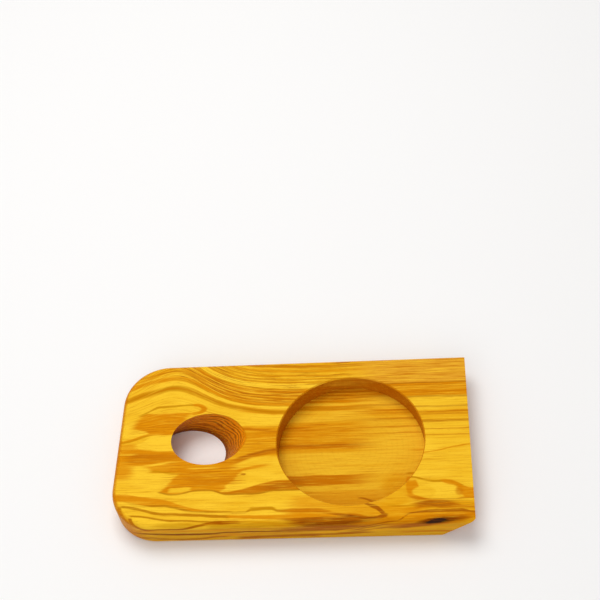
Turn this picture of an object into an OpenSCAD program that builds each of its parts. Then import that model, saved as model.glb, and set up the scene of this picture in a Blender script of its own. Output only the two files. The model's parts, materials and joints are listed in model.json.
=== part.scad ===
// Wooden coaster and balancing holder for a wine bottle.
// Lying flat, it holds a bottle in a round recess. Standing on its slanted end,
// it carries a bottle by the neck, in a hole that leans the same way.
// Origin: middle of the underside. +X points to the slanted end, +Z is up.

/* [Board] */
// Length along the grain, over the upper face
board_l = 207; // [190:1:300]
// Width across the grain
board_w = 111; // [100:1:180]
// Thickness
board_t = 18.5; // [14:0.5:30]
// Radius of the two round corners, seen from above
corner_r = 26.5; // [8:0.5:45]
// Radius worked along the upper edges and round the corners
edge_r = 3.5; // [1:0.5:6]
// Radius worked along the lower edges
under_r = 2.5; // [1:0.5:6]

/* [Slanted end] */
// Lean of the sawn end away from a square cut, in degrees
end_angle = 49; // [20:1:60]
// Height of the narrow flat sanded on its upper edge
end_flat = 0.8; // [0.4:0.1:3]

/* [Bottle recess] */
// Diameter of the recess
recess_d = 86; // [60:1:94]
// Depth of the recess
recess_depth = 12; // [4:0.5:12]
// Distance from its centre to the slanted end's upper edge
recess_from_end = 69; // [56:0.5:90]
// Distance of its centre from the board's middle line, towards the back
recess_off = -1.2; // [-4:0.1:4]
// Width of the bevel sanded on its rim
recess_rim = 0.6; // [0.2:0.1:2]

/* [Neck hole] */
// Diameter of the slanted hole
neck_d = 35; // [28:0.5:40]
// Lean of the hole away from upright, in degrees
neck_angle = 37; // [0:1:42]
// Distance from the middle of its upper mouth to the round end
neck_from_end = 54; // [46:0.5:60]
// Distance of its middle from the board's middle line, towards the back
neck_off = 1.8; // [-4:0.1:4]
// Radius sanded on the open side of both mouths
neck_lip_r = 5; // [1:0.5:7]

/* [Filled bark pocket] */
// Length of the pocket along the grain
pocket_l = 12; // [6:0.5:20]
// Width of the pocket at its middle
pocket_w = 2.6; // [1:0.1:5]
// Distance from its middle to the slanted end's upper edge
pocket_from_end = 21.5; // [14:0.5:40]
// Where it opens on the worked edge, in degrees up from the front face
pocket_up = 38; // [20:1:70]
// Turn of the pocket across the edge, in degrees
pocket_turn = 10; // [-20:1:20]

/* [Hidden] */
$fn = 96;

// Overrun of every cut past the face it opens
cut = 1;

// Ends of the board and the middles of its features
x_round = -board_l / 2;
x_slant = board_l / 2;
y_front = -board_w / 2;
end_run = (board_t - end_flat) * tan(end_angle);
recess_x = x_slant - recess_from_end;
neck_x = x_round + neck_from_end;
neck_r = neck_d / 2;
pocket_x = x_slant - pocket_from_end;

// Along the hole's axis: half the way through, and where each lip starts.
// A lip that just touched the face would need no rise; the rise leaves a soft crease there.
crease_share = 0.03;
neck_half = board_t / 2 / cos(neck_angle);
lip_touch = neck_half + ((neck_r + neck_lip_r) * sin(neck_angle) - neck_lip_r) / cos(neck_angle);
lip_start = lip_touch + crease_share * neck_lip_r;
lip_width = neck_lip_r * (1 - sin(neck_angle));
neck_reach = neck_half + (neck_r + lip_width) * tan(neck_angle) + cut;

// The pocket is the space two equal balls share
ball_r = (pow(pocket_l / 2, 2) + pow(pocket_w / 2, 2)) / pocket_w;

// Cross-section of the board's worked edge: width w, round at its far side
module edge_section(w) {
    side_h = board_t - edge_r - under_r;
    translate([0, under_r]) square([w, side_h]);
    translate([0, under_r]) square([w - edge_r, side_h + edge_r]);
    square([w - under_r, under_r + side_h]);
    translate([w - edge_r, board_t - edge_r]) circle(edge_r);
    translate([w - under_r, under_r]) circle(under_r);
}

// Half of the long bar, from the middle line to the front or back edge
module half_bar(length) {
    rotate([90, 0, 90]) linear_extrude(length) edge_section(board_w / 2);
}

// The blank: a bar, its round end and two quarter-round corners
module blank() {
    bar_l = board_l - corner_r;
    strip_w = board_w - 2 * corner_r;
    for (side = [0, 1]) mirror([0, side, 0]) {
        translate([x_round + corner_r, 0, 0]) half_bar(bar_l);
        translate([x_round + corner_r, board_w / 2 - corner_r, 0])
            rotate([0, 0, 90]) rotate_extrude(angle = 90) edge_section(corner_r);
    }
    translate([x_round + corner_r, strip_w / 2, 0])
        rotate([90, 0, 0]) mirror([1, 0, 0]) linear_extrude(strip_w) edge_section(corner_r);
}

// What the slanted saw cut takes off
module end_cut() {
    translate([x_slant, board_w / 2 + cut, 0]) rotate([90, 0, 0]) linear_extrude(board_w + 2 * cut)
        polygon([
            [-end_run - cut * tan(end_angle), -cut],
            [0, board_t - end_flat],
            [cut, board_t - end_flat],
            [cut, -cut]
        ]);
}

// Round recess with a flat floor and a bevelled rim
module recess_cut() {
    translate([recess_x, recess_off, board_t - recess_depth])
        cylinder(d = recess_d, h = recess_depth + cut);
    translate([recess_x, recess_off, board_t - recess_rim])
        cylinder(r1 = recess_d / 2, r2 = recess_d / 2 + recess_rim + cut, h = recess_rim + cut);
}

// One sanded lip, cut round the hole's axis above its start
module lip_cut() {
    rotate_extrude() difference() {
        translate([neck_r - cut, lip_start]) square([lip_width + cut, neck_reach - lip_start]);
        translate([neck_r + neck_lip_r, lip_start]) circle(neck_lip_r);
    }
}

// Slanted hole, with the same lip at both mouths.
// The quarter turn puts the round faces' seam at the side, where the wall is whole.
module neck_cut() {
    translate([neck_x - board_t / 2 * tan(neck_angle), neck_off, board_t / 2])
        rotate([0, neck_angle, 0]) rotate([0, 0, 90]) {
            cylinder(r = neck_r, h = 2 * neck_reach, center = true);
            for (mouth = [0, 1]) rotate([0, 180 * mouth, 0]) lip_cut();
        }
}

// Lens of bark, lying in the upper front edge and square to its worn surface
module pocket() {
    lean = ball_r - pocket_w / 2;
    inward = edge_r * (1 - cos(pocket_up));
    down = edge_r * (1 - sin(pocket_up));
    translate([pocket_x, y_front + inward, board_t - down])
        rotate([90 - pocket_up, 0, 0]) rotate([0, 0, pocket_turn])
            intersection_for (side = [-1, 1]) translate([0, side * lean, 0]) sphere(ball_r, $fn = 360);
}

module body() {
    difference() {
        blank();
        end_cut();
        recess_cut();
        neck_cut();
    }
}

module board() {
    color("#d9982b") difference() {
        body();
        pocket();
    }
}

// Dark filling of the bark pocket, flush with the wood
module knot_fill() {
    color("#2a1409") intersection() {
        body();
        pocket();
    }
}

board();
knot_fill();
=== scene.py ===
import json
import math

import bpy
from mathutils import Matrix, Vector

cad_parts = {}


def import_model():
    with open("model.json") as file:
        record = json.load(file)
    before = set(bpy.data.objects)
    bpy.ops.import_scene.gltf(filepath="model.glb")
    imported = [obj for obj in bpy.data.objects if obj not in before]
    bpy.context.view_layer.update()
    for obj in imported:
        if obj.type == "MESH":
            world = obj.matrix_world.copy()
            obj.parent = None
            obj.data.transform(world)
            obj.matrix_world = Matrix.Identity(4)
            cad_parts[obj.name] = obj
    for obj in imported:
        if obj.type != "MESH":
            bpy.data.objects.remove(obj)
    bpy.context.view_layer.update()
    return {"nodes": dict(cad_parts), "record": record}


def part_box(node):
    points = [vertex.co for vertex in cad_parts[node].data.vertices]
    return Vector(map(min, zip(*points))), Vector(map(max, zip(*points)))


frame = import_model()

# Lengths are in millimetres, apart from those that a comment gives in metres
MM = 0.001

# The height of the upper face and the places of the two openings, in millimetres
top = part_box("board")[1].z / MM
mounts = {mount["name"]: mount for mount in frame["record"]["mounts"]}
neck_at = Vector(mounts["neck_bore"]["pos_m"]) / MM
neck_axis = Vector(mounts["neck_bore"]["axis"])
neck_radius = mounts["neck_bore"]["dims"]["r_mm"]
recess_at = Vector(mounts["bottle_recess"]["pos_m"]) / MM
recess_radius = mounts["bottle_recess"]["dims"]["r_mm"]


def paint(red, green, blue):
    """The linear colour that a shader takes, from a colour as a screen shows it, 0 to 255."""
    linear = []
    for part in (red, green, blue):
        share = part / 255
        if share <= 0.04045:
            linear.append(share / 12.92)
        else:
            linear.append(((share + 0.055) / 1.055) ** 2.4)
    return (linear[0], linear[1], linear[2], 1.0)


# Colours of the wood
LIGHT = paint(248, 198, 47)
YELLOW = paint(241, 187, 38)
GOLD = paint(228, 160, 14)
OCHRE = paint(200, 138, 4)
OLIVE = paint(184, 118, 6)
ORANGE = paint(217, 135, 3)
# EMBER colours the neck hole's lip, lighter in part as a painted highlight
EMBER = paint(238, 136, 8)
RUST = paint(196, 112, 1)
BROWN = paint(162, 82, 2)
DARK = paint(118, 48, 2)
TAN = paint(227, 161, 42)
RING = paint(126, 48, 2)
BLACK = paint(40, 13, 4)

# Streaks and specks in the dark filling
FILL_STREAK = paint(84, 34, 6)
FILL_SPECK = paint(24, 8, 3)


class Tree:
    """A node tree and the few kinds of node that the materials are made from."""

    def __init__(self, tree):
        self.tree = tree

    def node(self, kind, **settings):
        """A new node with some of its settings."""
        made = self.tree.nodes.new(kind)
        for key, setting in settings.items():
            setattr(made, key, setting)
        return made

    def put(self, socket, value):
        """Joins a socket to another, or gives it a constant."""
        if isinstance(value, bpy.types.NodeSocket):
            self.tree.links.new(value, socket)
        else:
            socket.default_value = value

    def math(self, operation, first, second=0.0, third=0.0):
        """An operation on up to three numbers, each a socket or a constant."""
        made = self.node("ShaderNodeMath", operation=operation)
        self.put(made.inputs[0], first)
        self.put(made.inputs[1], second)
        self.put(made.inputs[2], third)
        return made.outputs[0]

    def add(self, first, second):
        return self.math("ADD", first, second)

    def less(self, first, second):
        return self.math("SUBTRACT", first, second)

    def times(self, first, second):
        return self.math("MULTIPLY", first, second)

    def smooth(self, value, low, high, low_gives=0.0, high_gives=1.0, kind="SMOOTHSTEP"):
        """Goes from low_gives at low to high_gives at high.

        The node's own clamp stays off, because it fills up Cycles' stack, and a smooth step holds its
        ends without it.
        """
        made = self.node("ShaderNodeMapRange", interpolation_type=kind, clamp=False)
        self.put(made.inputs[0], value)
        self.put(made.inputs[1], low)
        self.put(made.inputs[2], high)
        self.put(made.inputs[3], low_gives)
        self.put(made.inputs[4], high_gives)
        return made.outputs[0]

    def noise(self, x, y, z, sizes, detail=1.0, rough=0.5):
        """Noise from 0 to 1 whose lumps are about as long, wide and deep as sizes says."""
        place = self.node("ShaderNodeCombineXYZ")
        self.put(place.inputs[0], self.times(x, 1 / sizes[0]))
        self.put(place.inputs[1], self.times(y, 1 / sizes[1]))
        self.put(place.inputs[2], self.times(z, 1 / sizes[2]))
        made = self.node("ShaderNodeTexNoise")
        self.put(made.inputs["Vector"], place.outputs[0])
        made.inputs["Scale"].default_value = 1.0
        made.inputs["Detail"].default_value = detail
        made.inputs["Roughness"].default_value = rough
        return made.outputs["Fac"]

    def mix(self, share, under, over):
        """One colour over another: under at a share of 0, over at 1."""
        # The node keeps its two colours in sockets 6 and 7
        made = self.node("ShaderNodeMix", data_type="RGBA")
        self.put(made.inputs[0], share)
        self.put(made.inputs[6], under)
        self.put(made.inputs[7], over)
        return made.outputs[2]


class Shader(Tree):
    """A material with its own tree."""

    def __init__(self, name):
        self.material = bpy.data.materials.new(name)
        self.material.use_nodes = True
        super().__init__(self.material.node_tree)
        self.surface = self.tree.nodes["Principled BSDF"]

    def own_millimetres(self):
        """x, y and z of a point in the board's frame, in millimetres."""
        coordinates = self.node("ShaderNodeTexCoord")
        split = self.node("ShaderNodeSeparateXYZ")
        self.put(split.inputs[0], coordinates.outputs["Object"])
        return [self.times(part, 1 / MM) for part in split.outputs]

    def facing(self):
        """How far a surface faces along x, y and z, from 0 to 1."""
        geometry = self.node("ShaderNodeNewGeometry")
        split = self.node("ShaderNodeSeparateXYZ")
        self.put(split.inputs[0], geometry.outputs["Normal"])
        return [self.math("ABSOLUTE", part) for part in split.outputs]

    def gloss(self, level, tint=(1.0, 1.0, 1.0, 1.0)):
        """How strong the surface's own reflection is, and its colour."""
        self.surface.inputs["Specular IOR Level"].default_value = level
        self.surface.inputs["Specular Tint"].default_value = tint

    def relief(self, height, strength, distance):
        """Fine bumps; distance is the height, in millimetres, that a change of 1 stands for."""
        bump = self.node("ShaderNodeBump")
        bump.inputs["Strength"].default_value = strength
        bump.inputs["Distance"].default_value = distance * MM
        self.put(bump.inputs["Height"], height)
        self.put(self.surface.inputs["Normal"], bump.outputs[0])


# A colour ramp holds 32 stops at most: its two ends, and four for each straight layer
ROWS_IN_RAMP = 7
# How far a ramp reaches past its outer layers, and the least half width of a layer's full colour
RAMP_MARGIN = 8
THINNEST = 0.02
# How much the grain changes between a streak's edge and its full colour
STREAK_EDGE = 0.1


class Figure(Tree):
    """Wood figure painted feature by feature over a plain ground, in a node group of its own.

    x runs with the grain and across runs over it, both in millimetres on the top face.
    along is x with uneven ends, for where a feature starts and stops, and grain is fine noise.
    A course is a height, or a list that starts with a height and goes on with climbs: (from, to, rise).
    A reach is where a feature starts and ends along the grain.
    soft is how far a side fades, and fade how far an end does, both ways from the place given.
    Cycles keeps few values at once in a shader this long, so all noise is made before the figure.
    """

    def __init__(self, name):
        group = bpy.data.node_groups.new(name, "ShaderNodeTree")
        for label in ("x", "along", "across", "grain"):
            group.interface.new_socket(label, in_out="INPUT", socket_type="NodeSocketFloat")
        group.interface.new_socket("ground", in_out="INPUT", socket_type="NodeSocketColor")
        group.interface.new_socket("colour", in_out="OUTPUT", socket_type="NodeSocketColor")
        super().__init__(group)
        entry = self.node("NodeGroupInput")
        self.x = entry.outputs[0]
        self.along = entry.outputs[1]
        self.across = entry.outputs[2]
        self.grain = entry.outputs[3]
        self.colour = entry.outputs[4]

    def used_in(self, shader, x, along, across, grain, ground):
        """Closes the group and gives its colour in a material."""
        leave = self.node("NodeGroupOutput")
        self.put(leave.inputs[0], self.colour)
        placed = shader.node("ShaderNodeGroup", node_tree=self.tree)
        for socket, value in zip(placed.inputs, (x, along, across, grain, ground)):
            shader.put(socket, value)
        return placed.outputs[0]

    def cover(self, mask, colour, strength):
        """Lays a colour over the figure so far, where a mask is 1."""
        self.colour = self.mix(self.times(mask, strength), self.colour, colour)

    def span(self, reach, fade, lean=0.0, pivot=0.0):
        """1 within a reach and 0 outside, with soft ends.

        The ends may lean: they move along the grain by lean for each millimetre above the pivot.
        """
        place = self.along
        if lean:
            place = self.less(place, self.times(self.less(self.across, pivot), lean))
        left = self.smooth(place, reach[0] - fade, reach[0] + fade)
        right = self.smooth(place, reach[1] - fade, reach[1] + fade, 1.0, 0.0)
        return self.times(left, right)

    def height(self, course):
        """The height of a course, which may change along the grain."""
        if isinstance(course, (int, float)):
            return course
        line = course[0]
        for start, end, rise in course[1:]:
            line = self.add(self.smooth(self.x, start, end, 0.0, rise), line)
        return line

    def band(self, colour, strength, course, half, reach, soft=0.4, fade=4.0):
        """A band that follows a course; half is half its width, or half its width at either end."""
        away = self.math("ABSOLUTE", self.less(self.across, self.height(course)))
        if isinstance(half, tuple):
            away = self.less(away, self.smooth(self.x, reach[0], reach[1], half[0], half[1]))
            mask = self.smooth(away, -soft, soft, 1.0, 0.0)
        else:
            mask = self.smooth(away, max(half - soft, 0.0), half + soft, 1.0, 0.0)
        self.cover(self.times(mask, self.span(reach, fade)), colour, strength)

    def between(self, colour, strength, low, high, reach, soft=0.5, fade=4.0, lean=0.0, pivot=0.0):
        """Fills the wood between two courses, low and high."""
        above = self.smooth(self.less(self.across, self.height(low)), -soft, soft)
        below = self.smooth(self.less(self.across, self.height(high)), -soft, soft, 1.0, 0.0)
        mask = self.times(above, below)
        self.cover(self.times(mask, self.span(reach, fade, lean, pivot)), colour, strength)

    def straight(self, rows, reach, fade=6.0, soft=0.3):
        """Many straight layers at once, less clear where the grain is high.

        Each row is (height, half the width, colour, strength), going up.
        """
        inside = self.times(self.span(reach, fade), self.smooth(self.grain, 0.38, 0.62, 1.0, 0.5))
        for first in range(0, len(rows), ROWS_IN_RAMP):
            part = rows[first : first + ROWS_IN_RAMP]
            low = part[0][0] - RAMP_MARGIN
            high = part[-1][0] + part[-1][1] + RAMP_MARGIN
            ramp = self.node("ShaderNodeValToRGB")
            stops = []
            for height, half, colour, strength in part:
                inner = max(half - soft, THINNEST)
                edges = (-half - soft, 0.0), (-inner, strength), (inner, strength), (half + soft, 0.0)
                for edge, share in edges:
                    stops.append(((height + edge - low) / (high - low), colour[:3] + (share,)))
            ends = ramp.color_ramp.elements
            ends[0].color = stops[0][1]
            ends[1].color = stops[-1][1]
            for place, colour in stops:
                ramp.color_ramp.elements.new(place).color = colour
            self.put(ramp.inputs[0], self.smooth(self.across, low, high, kind="LINEAR"))
            self.colour = self.mix(self.times(inside, ramp.outputs[1]), self.colour, ramp.outputs[0])

    def streaks(self, colour, strength, cut, low, high, reach, fade=6.0):
        """Thin uneven streaks between two heights.

        They lie where the grain is above the cut, or below it if the cut is under a half.
        """
        shown = self.smooth(self.grain, cut, cut + math.copysign(STREAK_EDGE, cut - 0.5))
        above = self.smooth(self.across, low - 1.0, low + 1.0)
        below = self.smooth(self.across, high - 1.0, high + 1.0, 1.0, 0.0)
        mask = self.times(self.times(shown, self.span(reach, fade)), self.times(above, below))
        self.cover(mask, colour, strength)

    def tongue_away(self, place, size, turn=0.0):
        """How far out a point is from a tongue's middle: 1 on its outline."""
        dx = self.less(self.x, place[0])
        dy = self.less(self.across, place[1])
        cosine = math.cos(math.radians(turn))
        sine = math.sin(math.radians(turn))
        run = self.add(self.times(dx, cosine / size[0]), self.times(dy, sine / size[0]))
        rise = self.less(self.times(dy, cosine / size[1]), self.times(dx, sine / size[1]))
        return self.math("SQRT", self.add(self.times(run, run), self.times(rise, rise)))

    def patch(self, colour, strength, place, size, turn=0.0, soft=0.12):
        """A filled tongue, turned by some degrees.

        size is half its length and half its width. Its edge fades both ways by soft, a share of that.
        """
        away = self.tongue_away(place, size, turn)
        self.cover(self.smooth(away, 1 - soft, 1 + soft, 1.0, 0.0), colour, strength)

    def rim(self, colour, strength, place, size, half, left_of=None, right_of=None, under=None):
        """The outline of a tongue, or its part to one side of a place or under a height.

        half is about half the line's width. Where the outline is cut off it fades, 3 mm each way on its
        right, 1 mm on its left and 0.5 mm on its upper side.
        """
        off = self.math("ABSOLUTE", self.less(self.tongue_away(place, size), 1.0))
        mask = self.smooth(off, 0.5 * half / size[1], 1.3 * half / size[1], 1.0, 0.0)
        if left_of is not None:
            mask = self.times(mask, self.smooth(self.x, left_of - 3, left_of + 3, 1.0, 0.0))
        if right_of is not None:
            mask = self.times(mask, self.smooth(self.x, right_of - 1, right_of + 1))
        if under is not None:
            mask = self.times(mask, self.smooth(self.across, under - 0.5, under + 0.5, 1.0, 0.0))
        self.cover(mask, colour, strength)


# How the growth layers lie: how much they dip with depth, and the arch over the neck hole.
# The arch takes its share of a layer's height, up to a top height; higher layers run parallel.
DIP = 0.8
ARCH_AT = -73.0
ARCH_REACH = 37.0
ARCH_SHARE = 0.5
ARCH_TOP = 24.0


def back_left(figure):
    """Layers that arch over the neck hole and fan out at the back edge.

    Their heights here are those that they have far from the arch.
    """
    # The yellow band between the arch line and the outer layers
    figure.band(LIGHT, 0.8, 20.8, 1.1, (-112, 10), soft=0.6, fade=8)
    # The round corner
    edge = [27.7, (-104, -76, -4.9)]
    figure.between(GOLD, 0.85, edge, 60.0, (-114, -62), fade=8)
    figure.between(ORANGE, 0.8, edge, [33.0, (-104, -76, -8.2)], (-114, -82), soft=0.6, fade=8)
    figure.band(ORANGE, 0.9, edge, 0.7, (-110, -62), fade=6)
    figure.band(LIGHT, 0.8, [31.2, (-104, -76, -6.8)], 0.5, (-98, -58), fade=8)
    figure.band(RUST, 0.8, [34.4, (-104, -76, -7.5)], 0.6, (-108, -58), fade=6)
    figure.band(ORANGE, 0.8, 29.4, 0.9, (-90, -56), soft=0.5, fade=6)
    figure.streaks(LIGHT, 0.8, 0.46, 24, 46, (-98, -58))
    figure.streaks(RUST, 0.7, 0.55, 23, 46, (-100, -58))
    # The fan
    figure.between(ORANGE, 1.0, 22.4, 35.2, (-64, 64), soft=0.4, fade=8)
    figure.between(GOLD, 0.9, 38.8, 60.0, (-62, 64), soft=0.6, fade=8)
    figure.band(LIGHT, 0.95, 36.9, 1.6, (-62, 64), soft=0.5, fade=6)
    figure.streaks(LIGHT, 0.9, 0.46, 24, 58, (-66, 64), fade=8)
    figure.streaks(BROWN, 0.9, 0.53, 23, 58, (-72, 64), fade=8)
    rows = [
        (22.7, 0.4, OCHRE, 0.9),
        (23.6, 0.35, ORANGE, 0.8),
        (24.9, 0.3, LIGHT, 0.7),
        (25.9, 0.4, BROWN, 0.8),
        (26.9, 0.3, LIGHT, 0.7),
        (27.9, 0.45, BROWN, 0.7),
        (28.9, 0.3, LIGHT, 0.6),
        (30.1, 0.5, BROWN, 0.8),
        (31.4, 0.4, LIGHT, 0.8),
        (32.9, 0.45, RUST, 0.9),
        (33.9, 0.3, LIGHT, 0.7),
        (34.8, 0.4, OCHRE, 1.0),
        (39.6, 0.4, RUST, 1.0),
        (40.6, 0.3, LIGHT, 0.8),
        (41.5, 0.35, RUST, 0.9),
        (42.7, 0.45, LIGHT, 0.9),
        (43.9, 0.5, RUST, 0.7),
        (45.7, 0.4, YELLOW, 0.8),
        (47.4, 0.9, ORANGE, 0.9),
        (49.2, 0.35, LIGHT, 0.8),
        (51.0, 1.1, RUST, 0.95),
    ]
    figure.straight(rows, (-70, 64), fade=10)
    # The arch line, wider and softer in three places
    arch = [21.4, (-100, -80, -2.1), (-32, -12, -0.7)]
    figure.band(ORANGE, 0.9, arch, 1.4, (-112, -84), soft=0.6, fade=8)
    figure.band(ORANGE, 0.9, arch, 1.2, (-64, -38), soft=0.6, fade=8)
    figure.band(ORANGE, 0.95, arch, 1.7, (-34, 64), soft=0.6, fade=8)
    figure.band(OCHRE, 0.95, arch, 1.0, (-112, 64), soft=0.5)
    figure.band(RUST, 0.6, arch, 0.4, (-112, 64))


def left_of_hole(figure):
    """Tongues, blotches and bands between the round end and the neck hole."""
    # The blotch, and the closed loop above it
    figure.between(
        ORANGE, 1.0, [9.8, (-96, -82, -3.8)], 20.4, (-95, -66), soft=0.7, fade=2.5, lean=0.6, pivot=12
    )
    figure.streaks(RUST, 0.8, 0.52, 6, 20, (-94, -62))
    figure.streaks(GOLD, 0.6, 0.44, 8, 20, (-94, -60))
    loop = [19.0, (-93, -80, 6.0), (-80, -64, 0.9)]
    figure.between(YELLOW, 0.9, [20.2, (-90, -70, 0.3)], loop, (-88, -58))
    figure.patch(YELLOW, 0.9, (-60, 23), (6.5, 2.8))
    figure.band(OCHRE, 0.95, loop, 0.7, (-92, -59), fade=2)
    figure.rim(ORANGE, 1.0, (-60, 22.8), (6.8, 3.1), 0.9, right_of=-60)
    figure.band(ORANGE, 0.6, 19.8, 0.6, (-72, -58), fade=3)
    # The pale wedge and the line under it
    figure.patch(LIGHT, 0.8, (-95, 6.4), (9, 2.2), turn=4)
    figure.band(ORANGE, 1.0, [0.6, (-103, -80, 5.6)], 0.95, (-110, -70), soft=0.5, fade=3)
    figure.band(OCHRE, 0.8, [0.2, (-103, -80, 5.6)], 0.5, (-106, -84))
    # The pale tongue that widens towards the hole
    low = [-1.8, (-92, -78, -3.2), (-78, -68, -0.8)]
    high = [-0.4, (-92, -81, 5.0)]
    figure.between(ORANGE, 0.7, -4.6, -0.4, (-112, -92), soft=0.8, fade=3)
    figure.between(LIGHT, 1.0, low, high, (-91.5, -44), soft=0.4, fade=1)
    # The dark band that runs into the hole
    figure.between(
        ORANGE, 1.0, [-15.4, (-88, -66, 2.6)], [-4.4, (-92, -70, -2.0)], (-116, -46), soft=0.6, fade=3
    )
    figure.between(RUST, 0.8, [-13.4, (-88, -66, 1.4)], [-7.2, (-92, -70, -0.8)], (-95, -46), soft=0.9)
    figure.streaks(ORANGE, 0.8, 0.46, -15, -5, (-98, -60))
    figure.streaks(BROWN, 0.4, 0.55, -15, -5, (-100, -60))
    figure.band(LIGHT, 0.6, -7.8, 0.5, (-104, -92), fade=3)
    # Under it: a light streak, orange wood and a line that starts the flame below
    figure.between(
        ORANGE, 0.85, [-19.8, (-84, -64, -1.4)], [-15.4, (-88, -66, 2.6)], (-86, -40), soft=0.6
    )
    figure.band(LIGHT, 0.8, [-15.6, (-86, -64, 2.4)], 0.55, (-84, -58))
    figure.band(OCHRE, 0.9, [-18.9, (-82, -64, -2.2)], 0.55, (-84, -62))
    figure.patch(ORANGE, 0.85, (-101, -18.5), (9, 6), soft=0.5)
    figure.patch(LIGHT, 0.9, (-87, -18.5), (5.5, 1.8), soft=0.4)
    figure.patch(LIGHT, 0.9, (-79, -26), (14, 4.6), soft=0.35)


def right_of_hole(figure):
    """The calmer wood between the two openings, and the streaks that rise to the recess."""
    # Calm golden wood with a pale patch
    figure.between(GOLD, 0.9, -12, 9.5, (-40, 90), soft=1.5, fade=5)
    figure.between(ORANGE, 0.5, -11, 8, (-38, 90), soft=2.0, fade=8)
    figure.patch(LIGHT, 0.7, (-20, 14.5), (13, 3.2), turn=-3, soft=0.3)
    # Two soft bands that sink towards the recess
    figure.band(ORANGE, 0.9, [8.0, (-30, -8, -3.2)], 1.7, (-33, 10), soft=0.7)
    figure.band(RUST, 0.9, [8.2, (-30, -8, -3.2)], 0.7, (-30, 8), soft=0.5)
    figure.band(ORANGE, 0.85, [2.6, (-28, -8, -1.6)], 1.8, (-30, 10), soft=0.8, fade=5)
    figure.streaks(RUST, 0.8, 0.53, -9, 9, (-34, 90))
    figure.streaks(LIGHT, 0.5, 0.46, -9, 4, (-34, 90))
    # The streaks that rise to the recess, and a pin knot below them
    figure.band(ORANGE, 0.9, [-23.2, (-50, -8, 6.4)], 1.0, (-46, -14), soft=0.6, fade=5)
    figure.band(RUST, 1.0, [-17.4, (-50, -8, 9.6)], 1.7, (-40, 90), soft=0.7, fade=5)
    figure.band(BROWN, 0.7, [-16.8, (-50, -8, 9.6)], 0.6, (-33, 60), soft=0.5, fade=12)
    figure.band(LIGHT, 0.7, [-20.2, (-50, -8, 9.0)], 0.5, (-43, -14), fade=5)
    figure.patch(BROWN, 0.8, (-27, -22.8), (1.5, 0.7), soft=0.4)


def below_hole(figure):
    """The large ragged flame between the neck hole and the front strip."""
    low = (-76, -68, -1.8), (-66, -52, 2.2), (-46, -36, -2.8), (-22, -6, 1.8)
    # The flame, whose two ends lean
    figure.between(ORANGE, 0.85, -20.8, -12.0, (-68, -32), soft=0.8, fade=5)
    figure.band(LIGHT, 0.7, -17.9, 0.5, (-59, -42), fade=3)
    figure.between(ORANGE, 1.0, [-33.0, *low], -19.6, (-65, -29), fade=1.5, lean=0.9, pivot=-22)
    figure.patch(RUST, 0.5, (-46, -25), (16, 4.4), soft=0.5)
    figure.streaks(RUST, 0.9, 0.52, -33, -13, (-72, -28))
    figure.streaks(GOLD, 0.8, 0.45, -32, -14, (-68, -28))
    # The pale notch in its foot, the tail that runs on to the recess, and the line below both
    figure.between(YELLOW, 1.0, -33.6, -30.3, (-69.5, -57.5), soft=0.4, fade=1.2)
    figure.between(RUST, 1.0, [-33.4, *low], [-34.2, (-38, -4, 6.8)], (-40, 90), fade=2)
    figure.patch(BROWN, 0.5, (-4, -31), (12, 2.0), turn=6, soft=0.5)
    figure.band(OLIVE, 0.95, [-33.2, *low], 0.6, (-75.5, 6), fade=1.5)


def front_strip(figure):
    """Long layers along the front edge, closing in nested loops at the round end."""
    # Darker ground on and near the front face
    figure.between(OCHRE, 0.7, -90, -58.0, (-130, 130), soft=1.2)
    figure.between(OCHRE, 0.75, -60.0, -52.8, (-46, 12), soft=0.8, fade=6)
    # The orange wedge that thins out into a line
    wedge = [-34.2, (-95, -80, -2.2), (-84, -44, -9.0)]
    slope = (-98, -82, -3.4), (-72, -50, -4.4), (-40, -28, -0.7), (-25, -21, 1.8), (-10, -6, -1.6)
    figure.between(ORANGE, 0.95, [-38.6, *slope], wedge, (-116, -42), fade=3)
    figure.streaks(LIGHT, 0.4, 0.44, -43, -34, (-100, -60))
    figure.band(OLIVE, 0.95, [-38.8, *slope], 0.75, (-94, 12))
    figure.band(OCHRE, 0.8, [-38.5, *slope], 1.1, (-23, -8), soft=0.5, fade=2)
    figure.band(
        LIGHT, 0.7, [-39.8, (-98, -70, -5.6), (-70, -44, -2.6)], 1.1, (-98, -20), soft=0.5, fade=5
    )
    # The outer loop
    outer = [-41.8, (-97, -70, -5.8), (-66, -30, -2.2), (-30, -10, -1.0)]
    figure.between(YELLOW, 1.0, -58.0, outer, (-98, -46), fade=3)
    figure.band(ORANGE, 0.95, outer, (0.5, 1.5), (-88, 26))
    figure.band(OLIVE, 0.95, outer, (0.8, 0.9), (-97, -34), fade=2)
    figure.rim(OLIVE, 0.95, (-76, -42), (21.4, 16.6), 1.1, left_of=-78, under=-42)
    # The inner loop
    inner = [-48.0, (-91, -66, -3.6), (-60, -46, -0.8)]
    figure.between(LIGHT, 0.9, -58.4, inner, (-89, -60))
    figure.patch(OCHRE, 0.6, (-63, -54.8), (13, 2.0), soft=0.5)
    figure.band(OLIVE, 0.95, inner, 0.6, (-91, -28), fade=1.5)
    figure.rim(BROWN, 0.9, (-80, -49.4), (10.4, 8.6), 1.0, left_of=-80, under=-49.5)
    figure.band(ORANGE, 0.6, -59.6, 0.8, (-86, -30), soft=0.5)
    # The brown line that climbs from the loop's foot, and the darker wood that it runs into
    figure.band(BROWN, 0.95, [-57.9, (-64, -40, 4.3)], (0.5, 1.1), (-84, -34), fade=3)
    figure.patch(BROWN, 0.95, (-36, -53.6), (10, 1.0), soft=0.5)
    figure.band(LIGHT, 0.8, -51.9, 0.35, (-46, -27), soft=0.3)
    figure.band(LIGHT, 0.7, [-52.4, (-24, -8, -0.9)], 0.35, (-24, -3), soft=0.3)
    figure.streaks(RUST, 0.7, 0.54, -60, -50, (-34, 24))
    figure.streaks(GOLD, 0.7, 0.45, -60, -51, (-50, 24))


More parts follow.
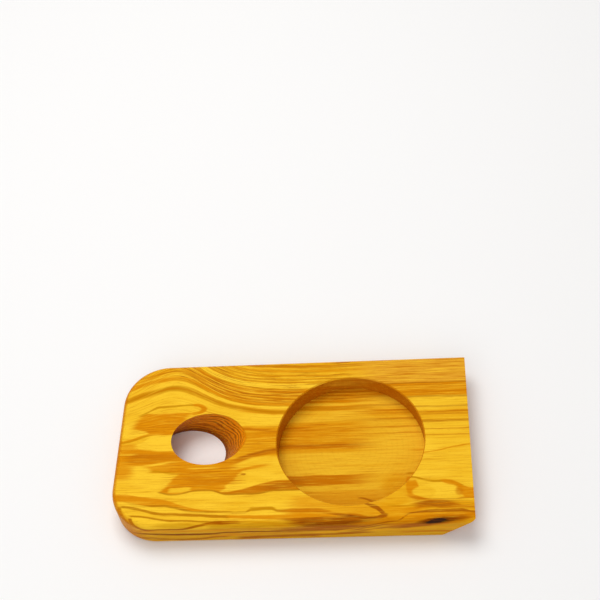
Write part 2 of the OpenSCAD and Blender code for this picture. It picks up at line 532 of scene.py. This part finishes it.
def front_middle(figure):
    """Dark long bands before the recess and the pointed loop beside it."""
    # Warmer wood inside the loop, and the bands
    figure.between(ORANGE, 0.6, -53.0, -38.0, (2, 53), soft=0.8, fade=6)
    figure.band(
        RUST, 0.95, [-47.0, (14, 32, -3.2), (36, 46, -2.0)], (1.4, 0.7), (-2, 53), soft=0.5, fade=5
    )
    figure.patch(RUST, 0.9, (38, -55.8), (22, 3.0), turn=4, soft=0.4)
    figure.patch(BROWN, 0.95, (22, -54.4), (21, 3.2), turn=1, soft=0.3)
    figure.patch(BROWN, 0.8, (8, -52.6), (12, 1.0), soft=0.4)
    figure.patch(DARK, 0.7, (27, -55.4), (16, 1.2), turn=3, soft=0.5)
    figure.streaks(DARK, 0.9, 0.52, -58, -51, (0, 48), fade=8)
    figure.streaks(ORANGE, 0.9, 0.45, -58, -47, (-6, 44))
    figure.band(ORANGE, 0.9, [-49.2, (4, 28, -1.9)], 0.5, (-2, 30), fade=5)
    figure.patch(BROWN, 0.9, (34, -51.2), (9, 1.0), turn=-10, soft=0.5)
    # The loop's lower and upper line, and the tip where they meet
    lower = [-51.0, (34, 44, -1.6), (47, 54, 0.9)]
    figure.band(BROWN, 1.0, lower, 1.0, (30, 53), soft=0.5, fade=2)
    figure.band(DARK, 0.7, lower, 0.5, (32, 52), fade=2)
    figure.band(
        BROWN, 1.0, [-43.0, (40, 50, -3.0), (48, 57, -6.4)], (0.4, 1.6), (38, 54.5), soft=0.5, fade=1.5
    )
    figure.patch(BROWN, 0.95, (52.2, -51.6), (3.4, 1.4), turn=20, soft=0.3)
    # The line that climbs from the front face and runs to the end
    climb = (28, 60, 6.3), (60, 64, 1.4), (62, 68, 3.4), (68, 76, 0.9), (96, 103, -1.6)
    figure.band(BROWN, 0.95, [-61.7, *climb], 0.5, (24, 106), soft=0.35)


def front_face(figure):
    """Layers that come out on the front face, below the upper edge."""
    # The long dark line of the left half, and the others round it
    figure.band(DARK, 0.9, [-61.7, (-84, -56, -1.2), (-54, -30, 1.4)], 0.6, (-96, 4))
    figure.patch(DARK, 0.8, (-58, -62.7), (16, 1.0), soft=0.5)
    figure.band(BROWN, 0.8, [-65.6, (-82, -60, -2.0), (-56, -38, 2.0)], 0.8, (-96, -34), soft=0.5)
    figure.band(ORANGE, 0.7, -64.4, 0.7, (-48, -20), soft=0.5, fade=6)
    figure.band(RUST, 0.8, -63.2, 0.4, (-38, 10), fade=6)
    figure.band(BROWN, 0.9, [-67.2, (-28, -8, 1.0)], 1.2, (-30, 16), soft=0.6)
    # The dark middle, and lines that climb from it to the right
    figure.patch(BROWN, 0.9, (18, -59.6), (25, 2.5), turn=3, soft=0.4)
    figure.streaks(DARK, 0.7, 0.53, -63, -57, (2, 44))
    figure.band(GOLD, 0.9, [-63.8, (12, 44, 2.6)], 0.6, (12, 46))
    figure.band(BROWN, 0.9, [-65.4, (30, 44, 0.8)], 0.6, (12, 46))
    figure.band(BROWN, 0.9, [-64.4, (28, 72, 6.0)], 0.5, (28, 70))
    figure.band(BROWN, 0.9, [-62.2, (34, 56, 4.6)], 0.5, (34, 58))
    figure.band(GOLD, 0.8, [-62.6, (44, 90, 1.0)], 1.0, (44, 100), soft=0.6)
    figure.band(RUST, 0.9, -65.0, 0.8, (62, 96), soft=0.6)


def right_end(figure):
    """Straight layers beside the recess."""
    # The tan back corner
    figure.band(TAN, 1.0, 47, 10.2, (20, 120))
    figure.streaks(RUST, 0.8, 0.52, 37, 58, (20, 120))
    figure.streaks(LIGHT, 0.8, 0.46, 37, 58, (20, 120))
    # The orange band beside it
    figure.band(ORANGE, 1.0, 32, 4.6, (20, 120), soft=0.5)
    figure.streaks(RUST, 0.9, 0.52, 28, 36, (20, 120))
    figure.streaks(LIGHT, 0.6, 0.43, 28, 36, (20, 120))
    # The thin layers from the middle to the tan corner, and one that rises below them
    figure.band(GOLD, 0.7, 13.6, 4.4, (20, 120), soft=1.0)
    rows = [
        (0.0, 0.35, RUST, 0.85),
        (4.2, 0.45, RUST, 0.85),
        (9.6, 0.8, BROWN, 0.7),
        (11.6, 0.3, LIGHT, 0.6),
        (14.0, 0.5, RUST, 0.9),
        (15.8, 0.7, RUST, 0.95),
        (17.4, 0.3, LIGHT, 0.6),
        (19.6, 0.65, BROWN, 0.7),
        (26.7, 0.7, BROWN, 0.7),
        (30.2, 0.4, RUST, 0.9),
        (32.4, 0.3, LIGHT, 0.8),
        (33.4, 0.3, RUST, 0.8),
        (34.4, 0.3, LIGHT, 0.6),
        (36.6, 0.5, BROWN, 0.9),
    ]
    figure.straight(rows, (20, 130))
    figure.band(ORANGE, 0.9, [-12.0, (74, 106, 5.0)], 0.35, (70, 120), soft=0.3, fade=6)


def right_front(figure):
    """The pale tongue, the blotch at the end and the lines that run to the bark pocket."""
    # Warmer ground near the front edge
    figure.between(GOLD, 0.9, -60, -43, (48, 120), soft=1.5, fade=6)
    figure.patch(GOLD, 0.8, (61, -37), (9, 9), soft=0.4)
    figure.patch(ORANGE, 0.5, (64, -51), (14, 6), soft=0.6)
    # The pale tongue, a bracket round its left end and a line over it
    figure.between(YELLOW, 1.0, -42.6, [-29.6, (72, 92, -2.6)], (72, 93.5), soft=0.7, fade=1.5)
    figure.patch(LIGHT, 0.9, (86, -35.6), (10, 5.0), soft=0.4)
    figure.patch(ORANGE, 1.0, (69.6, -34.4), (3.6, 6.6), turn=8, soft=0.2)
    figure.patch(YELLOW, 1.0, (76, -37.0), (6.6, 3.4), soft=0.15)
    figure.patch(ORANGE, 1.0, (71, -40.2), (5, 1.2), turn=-14, soft=0.4)
    figure.patch(LIGHT, 0.6, (69, -28.9), (2.6, 1.0), soft=0.4)
    figure.band(OCHRE, 1.0, [-27.5, (68, 82, -3.0), (88, 102, -4.4)], 0.65, (67, 98), fade=1.5)
    # The blotch at the end's edge
    figure.between(
        ORANGE, 1.0, -41.6, [-31.4, (90, 102, -3.6)], (93.6, 125), fade=1.2, lean=-0.6, pivot=-34
    )
    figure.patch(ORANGE, 0.9, (91, -31.6), (5.5, 1.5), turn=-16, soft=0.3)
    figure.patch(RUST, 0.7, (95.6, -37.4), (2.2, 2.4), soft=0.5)
    figure.band(RUST, 0.8, -41.5, 0.4, (95, 125), soft=0.3, fade=2)
    # Brown wood under the tongue
    low = [-49.2, (66, 78, 3.0), (79, 86, -1.6)]
    high = [-41.2, (70, 80, -0.8), (82, 100, -4.4)]
    figure.patch(ORANGE, 0.8, (71, -48.0), (8, 1.6), turn=10, soft=0.5)
    figure.between(RUST, 0.9, low, high, (71, 125), soft=0.7, fade=3)
    figure.band(RUST, 0.9, [-40.2, (68, 80, -2.0)], 0.7, (68, 80), fade=2)
    figure.patch(BROWN, 0.9, (82, -44.6), (11, 2.2), soft=0.5)
    figure.streaks(ORANGE, 0.8, 0.46, -49, -41, (70, 125))
    figure.streaks(BROWN, 0.5, 0.54, -49, -41, (70, 125))
    figure.band(LIGHT, 0.5, [-44.8, (62, 76, 2.0)], 0.4, (63, 76), fade=3)
    figure.band(OCHRE, 0.7, -45.3, 0.5, (56, 71), fade=3)
    figure.streaks(ORANGE, 0.6, 0.53, -53, -41, (50, 72))


def pocket_surround(figure):
    """Wood stained by the bark pocket, drawn out along the grain."""
    # A wide stain, brown tails on both sides, the dark edge of the pocket and the line over all
    figure.band(ORANGE, 0.9, -51.8, 1.2, (66, 120), soft=0.6, fade=5)
    figure.patch(RUST, 0.9, (80, -55.6), (24, 4.0), turn=7, soft=0.3)
    figure.streaks(ORANGE, 0.8, 0.46, -62, -51, (60, 104), fade=8)
    figure.patch(BROWN, 0.95, (74, -58.2), (16, 1.9), turn=9, soft=0.35)
    figure.patch(BROWN, 0.95, (90, -54.2), (10, 1.6), turn=3, soft=0.35)
    figure.patch(DARK, 1.0, (83, -55.4), (11, 2.0), turn=6, soft=0.3)
    figure.patch(BLACK, 0.95, (82.2, -56.0), (6.2, 1.5), turn=8, soft=0.3)
    figure.band(BROWN, 0.9, [-50.4, (66, 80, 1.5), (96, 103, -1.6)], 0.5, (67, 106), soft=0.35, fade=3)


def painted(name, *parts):
    """A figure with some of the parts above, one over the other."""
    figure = Figure(name)
    for part in parts:
        part(figure)
    return figure


# Depths below the upper face: where the neck hole's lip starts to colour, lighter in part as a painted
# highlight, where it has its full colour and the wall starts, and where the wall has its own and its
# painted shade begins
LIP_EDGE = 0.1
LIP_DEPTH = 0.9
WALL_DEPTH = 3.5
# Heights over the underside: where the wall's painted shade is as deep as it gets, and where the
# painted shadow at its foot starts and is darkest
WALL_SHADE_LOW = 4.0
FOOT_SHADOW_HIGH = 4.6
FOOT_SHADOW_LOW = 1.4
# The layers on that wall: the height of a dark and a light one together, how far they wave slowly and
# quickly, and how much they climb for each millimetre towards the front
LAYER_PAIR = 2.3
WALL_SWELL = 7.0
WALL_RIPPLE = 1.4
WALL_CLIMB = 0.06


def bore_wall(wood, x, y, z, swell, ripple, fleck, colour):
    """Layers cut by the neck hole, seen as close lines round its wall, and the painted shade and
    highlight there.
    """
    # near is 1 on the wall, where the squared distance from the hole's axis is 1, and 0 further out
    slope = neck_axis.x / neck_axis.z
    middle = wood.math("MULTIPLY_ADD", wood.less(z, neck_at.z), slope, neck_at.x)
    dx = wood.times(wood.less(x, middle), neck_axis.z / neck_radius)
    dy = wood.times(wood.less(y, neck_at.y), 1 / neck_radius)
    near = wood.smooth(wood.add(wood.times(dx, dx), wood.times(dy, dy)), 1.5, 1.25)
    # Level lines, uneven in height and strength
    level = wood.math("MULTIPLY_ADD", wood.less(swell, 0.5), WALL_SWELL, z)
    level = wood.math("MULTIPLY_ADD", wood.less(ripple, 0.5), WALL_RIPPLE, level)
    level = wood.math("MULTIPLY_ADD", y, WALL_CLIMB, level)
    saw = wood.math("PINGPONG", wood.times(level, 2 / LAYER_PAIR), 1.0)
    line = wood.times(wood.smooth(saw, 0.4, 0.75), wood.smooth(fleck, 0.35, 0.6, 0.6, 1.0))
    # A warm lip, lighter in part as a painted highlight; painted shade that darkens the wall downwards;
    # the lines over both; and a painted shadow at the foot
    lip = wood.times(near, wood.smooth(z, top - LIP_EDGE, top - LIP_DEPTH))
    colour = wood.mix(wood.times(lip, 0.95), colour, EMBER)
    wall = wood.times(near, wood.smooth(z, top - LIP_DEPTH, top - WALL_DEPTH))
    # Painted shade that deepens down the wall
    shade = wood.smooth(z, top - WALL_DEPTH, WALL_SHADE_LOW, 0.0, 0.6)
    colour = wood.mix(wood.times(wall, shade), colour, BROWN)
    colour = wood.mix(wood.times(lip, wood.times(line, 0.9)), colour, RUST)
    colour = wood.mix(wood.times(wall, wood.times(line, 0.8)), colour, RING)
    # Painted shadow at the foot, by the hole's lower mouth
    return wood.mix(wood.times(near, wood.smooth(z, FOOT_SHADOW_HIGH, FOOT_SHADOW_LOW, 0.0, 0.95)), colour, DARK)


# Distance between two of the cutter's rings in the recess
CUTTER_RINGS = 3.2


def recess_shade_and_rings(wood, x, y, z, upright, colour):
    """Painted shade in the recess, deepest on its wall, and the faint rings that its cutter left."""
    dx = wood.less(x, recess_at.x)
    dy = wood.less(y, recess_at.y)
    radius = wood.math("SQRT", wood.add(wood.times(dx, dx), wood.times(dy, dy)))
    # The painted shade starts just outside the wall and just under the rim
    inside = wood.smooth(radius, recess_radius + 0.4, recess_radius - 0.2)
    inside = wood.times(inside, wood.smooth(z, top - 0.5, top - 1.2))
    # Painted shade in the recess, the cutter's rings a little darker still, then deeper painted shade
    # on the wall
    ring = wood.math("PINGPONG", wood.times(radius, 2 / CUTTER_RINGS), 1.0)
    colour = wood.mix(wood.times(inside, wood.smooth(ring, 0.6, 1.0, 0.26, 0.31)), colour, RUST)
    return wood.mix(wood.times(inside, wood.smooth(upright, 0.7, 0.3, 0.0, 0.55)), colour, BROWN)


# How uneven the growth is: ragged ends along the grain, and slow and quick waves across it
RAGGED_ENDS = 5.0
LAYER_SWELL = 1.4
LAYER_RIPPLE = 0.9
# Where, along the board, the left half's figure gives way to the right half's
HANDOVER_START = 28.0
HANDOVER_END = 56.0


def olive_wood():
    """Oiled olive wood: figure, fibres, pores and end grain, all in the board's own millimetres."""
    wood = Shader("olive_wood_oiled")
    x, y, z = wood.own_millimetres()
    facing = wood.facing()
    depth = wood.less(top, z)
    dipped = wood.math("MULTIPLY_ADD", depth, -DIP, y)
    # The arch over the neck hole: its share of a layer's height, and where it stops growing
    sideways = wood.times(wood.less(x, ARCH_AT), 1 / ARCH_REACH)
    bell = wood.math("EXPONENT", wood.times(wood.times(sideways, sideways), -1.0))
    bell = wood.times(bell, ARCH_SHARE)
    highest = wood.math("DIVIDE", ARCH_TOP, wood.math("SUBTRACT", 1.0, bell))
    held = wood.math("MINIMUM", wood.math("MAXIMUM", dipped, 0.0), highest)
    calm = wood.less(dipped, wood.times(held, bell))
    # Uneven growth, fibres and pores
    ragged = wood.noise(x, dipped, z, (30, 1.0, 4), detail=2.0)
    swell = wood.noise(x, dipped, z, (26, 9, 14))
    ripple = wood.noise(x, dipped, z, (7, 2.2, 5), detail=2.0)
    cloud = wood.noise(x, calm, z, (40, 7, 12), detail=2.0)
    fleck = wood.noise(x, calm, z, (30, 1.6, 5), detail=3.0, rough=0.6)
    arch_grain = wood.noise(x, calm, z, (18, 0.6, 3), detail=3.0, rough=0.65)
    flat_grain = wood.noise(x, dipped, z, (26, 0.75, 3), detail=3.0, rough=0.65)
    fibre = wood.noise(x, calm, z, (18, 0.45, 0.9), detail=3.0, rough=0.65)
    pore = wood.noise(x, calm, z, (3.0, 0.28, 0.5))
    along = wood.math("MULTIPLY_ADD", wood.less(ragged, 0.5), RAGGED_ENDS, x)
    across = wood.math("MULTIPLY_ADD", wood.less(swell, 0.5), LAYER_SWELL, dipped)
    across = wood.math("MULTIPLY_ADD", wood.less(ripple, 0.5), LAYER_RIPPLE, across)
    held = wood.math("MINIMUM", wood.math("MAXIMUM", across, 0.0), highest)
    layer = wood.less(across, wood.times(held, bell))
    ground = wood.mix(wood.smooth(cloud, 0.38, 0.62), YELLOW, LIGHT)
    ground = wood.mix(wood.smooth(fleck, 0.5, 0.75, 0.0, 0.5), ground, GOLD)
    # The figure, group by group
    arch = painted("arch", back_left)
    left = painted("left", left_of_hole, right_of_hole, below_hole)
    right = painted("right", right_end, right_front)
    strip = painted("strip", front_strip, front_middle, front_face, pocket_surround)
    arch_colour = arch.used_in(wood, x, along, layer, arch_grain, ground)
    left_colour = left.used_in(wood, x, along, across, flat_grain, arch_colour)
    right_colour = right.used_in(wood, x, along, across, flat_grain, ground)
    colour = wood.mix(wood.smooth(x, HANDOVER_START, HANDOVER_END), left_colour, right_colour)
    colour = strip.used_in(wood, x, along, across, flat_grain, colour)
    # Darker, thirstier wood where the surface cuts the fibres across
    colour = wood.mix(wood.smooth(facing[0], 0.1, 0.6, 0.0, 0.8), colour, RUST)
    # Painted shade in both openings, a painted shadow at the neck hole's foot, a partly painted
    # highlight on its lip
    colour = recess_shade_and_rings(wood, x, y, z, facing[2], colour)
    colour = bore_wall(wood, x, y, z, swell, ripple, fleck, colour)
    # Single fibres and pores
    colour = wood.mix(wood.smooth(fibre, 0.48, 0.75, 0.0, 0.6), colour, RUST)
    colour = wood.mix(wood.smooth(fibre, 0.5, 0.28, 0.0, 0.45), colour, LIGHT)
    colour = wood.mix(wood.smooth(pore, 0.62, 0.78, 0.0, 0.35), colour, BROWN)
    # A satin face under a thin film of oil
    wood.put(wood.surface.inputs["Base Color"], colour)
    wood.put(wood.surface.inputs["Roughness"], wood.smooth(fibre, 0.3, 0.7, 0.4, 0.52))
    wood.gloss(0.06, tint=(1.0, 0.7, 0.1, 1.0))
    wood.relief(wood.add(fibre, wood.times(pore, -0.8)), strength=0.35, distance=0.05)
    return wood.material


def dark_filling():
    """The bark pocket's filling: nearly black, with rusty streaks and blacker specks."""
    filling = Shader("dark_filling")
    x, y, z = filling.own_millimetres()
    grain = filling.noise(x, y, z, (5, 0.7, 1.2), detail=3.0, rough=0.6)
    speck = filling.noise(x, y, z, (1.2, 0.5, 0.5), detail=2.0)
    colour = filling.mix(filling.smooth(grain, 0.42, 0.72), BLACK, FILL_STREAK)
    colour = filling.mix(filling.smooth(speck, 0.6, 0.75, 0.0, 0.7), colour, FILL_SPECK)
    filling.put(filling.surface.inputs["Base Color"], colour)
    filling.surface.inputs["Roughness"].default_value = 0.5
    filling.gloss(0.15, tint=(1.0, 0.8, 0.5, 1.0))
    filling.relief(speck, strength=0.3, distance=0.05)
    return filling.material


def dress(node, material):
    """Gives a CAD node its material."""
    piece = frame["nodes"][node]
    piece.data.materials.clear()
    piece.data.materials.append(material)


# Strength of the light from all round, and of the floor's own glow, which lifts it towards white
WORLD_LIGHT = 0.4
FLOOR_GLOW = 0.02


def seen_directly(tree):
    """1 for what the camera sees, also in a mirror or through glass, and 0 for all other light."""
    path = tree.node("ShaderNodeLightPath")
    seen = tree.math("MAXIMUM", path.outputs["Is Camera Ray"], path.outputs["Is Glossy Ray"])
    return tree.math("MAXIMUM", seen, path.outputs["Is Transmission Ray"])


def floor():
    """A plain pale floor, 6 metres square, that keeps the object's shadow."""
    half = 3.0
    mesh = bpy.data.meshes.new("floor")
    corners = [(-half, -half, 0), (half, -half, 0), (half, half, 0), (-half, half, 0)]
    mesh.from_pydata(corners, [], [(0, 1, 2, 3)])
    ground = bpy.data.objects.new("floor", mesh)
    bpy.context.scene.collection.objects.link(ground)
    white = Shader("floor_white")
    white.surface.inputs["Base Color"].default_value = (0.9, 0.89, 0.88, 1.0)
    white.surface.inputs["Roughness"].default_value = 0.9
    white.gloss(0.1)
    glow = white.node("ShaderNodeEmission")
    glow.inputs["Color"].default_value = (1.0, 1.0, 1.0, 1.0)
    white.put(glow.inputs["Strength"], white.times(seen_directly(white), FLOOR_GLOW))
    both = white.node("ShaderNodeAddShader")
    white.put(both.inputs[0], white.surface.outputs[0])
    white.put(both.inputs[1], glow.outputs[0])
    output = white.tree.nodes["Material Output"]
    white.put(output.inputs["Surface"], both.outputs[0])
    mesh.materials.append(white.material)


def world():
    """Even light from all round, white where the camera or a mirror looks past the floor."""
    made = bpy.data.worlds.new("studio")
    made.use_nodes = True
    sky = Tree(made.node_tree)
    background = sky.tree.nodes["Background"]
    background.inputs["Color"].default_value = (1.0, 1.0, 1.0, 1.0)
    strength = sky.smooth(seen_directly(sky), 0.0, 1.0, WORLD_LIGHT, 1.0, kind="LINEAR")
    sky.put(background.inputs["Strength"], strength)
    bpy.context.scene.world = made


def lamp(name, place, size, power):
    """A soft square lamp that faces the middle of the board; metres and watts."""
    data = bpy.data.lights.new(name, "AREA")
    data.shape = "SQUARE"
    data.size = size
    data.energy = power
    made = bpy.data.objects.new(name, data)
    bpy.context.scene.collection.objects.link(made)
    made.location = place
    direction = -Vector(place)
    made.rotation_euler = direction.to_track_quat("-Z", "Y").to_euler()


# The photograph's view: where the camera stands, what it looks at, its roll in degrees and its lens
CAMERA_PLACE = Vector((75.7, -371.43, top + 599.85)) * MM
CAMERA_AIM = Vector((0.38, 116.51, top - 17.0)) * MM
CAMERA_ROLL = -9.257
LENS = 72.4
FILM_WIDTH = 36.0
# Nearest distance that the camera shows, in metres
CLIP_START = 0.01


def camera():
    """The photograph's view: high above the front edge, turned a little about the line of sight."""
    data = bpy.data.cameras.new("camera")
    data.sensor_width = FILM_WIDTH
    data.lens = LENS
    data.clip_start = CLIP_START
    made = bpy.data.objects.new("camera", data)
    bpy.context.scene.collection.objects.link(made)
    roll = math.radians(CAMERA_ROLL)
    away = (CAMERA_PLACE - CAMERA_AIM).normalized()
    level = Vector((0, 0, 1)).cross(away).normalized()
    upright = away.cross(level)
    right = level * math.cos(roll) + upright * math.sin(roll)
    up = away.cross(right)
    turn = Matrix((right, up, away)).transposed()
    made.matrix_world = Matrix.Translation(CAMERA_PLACE) @ turn.to_4x4()
    bpy.context.scene.camera = made


dress("board", olive_wood())
dress("knot_fill", dark_filling())
floor()
world()
lamp("key", place=(-0.2, 0.5, 1.25), size=0.9, power=11.0)
lamp("fill", place=(-0.2, -0.9, 0.8), size=1.0, power=4.4)
camera()
bpy.context.scene.view_settings.view_transform = "Standard"
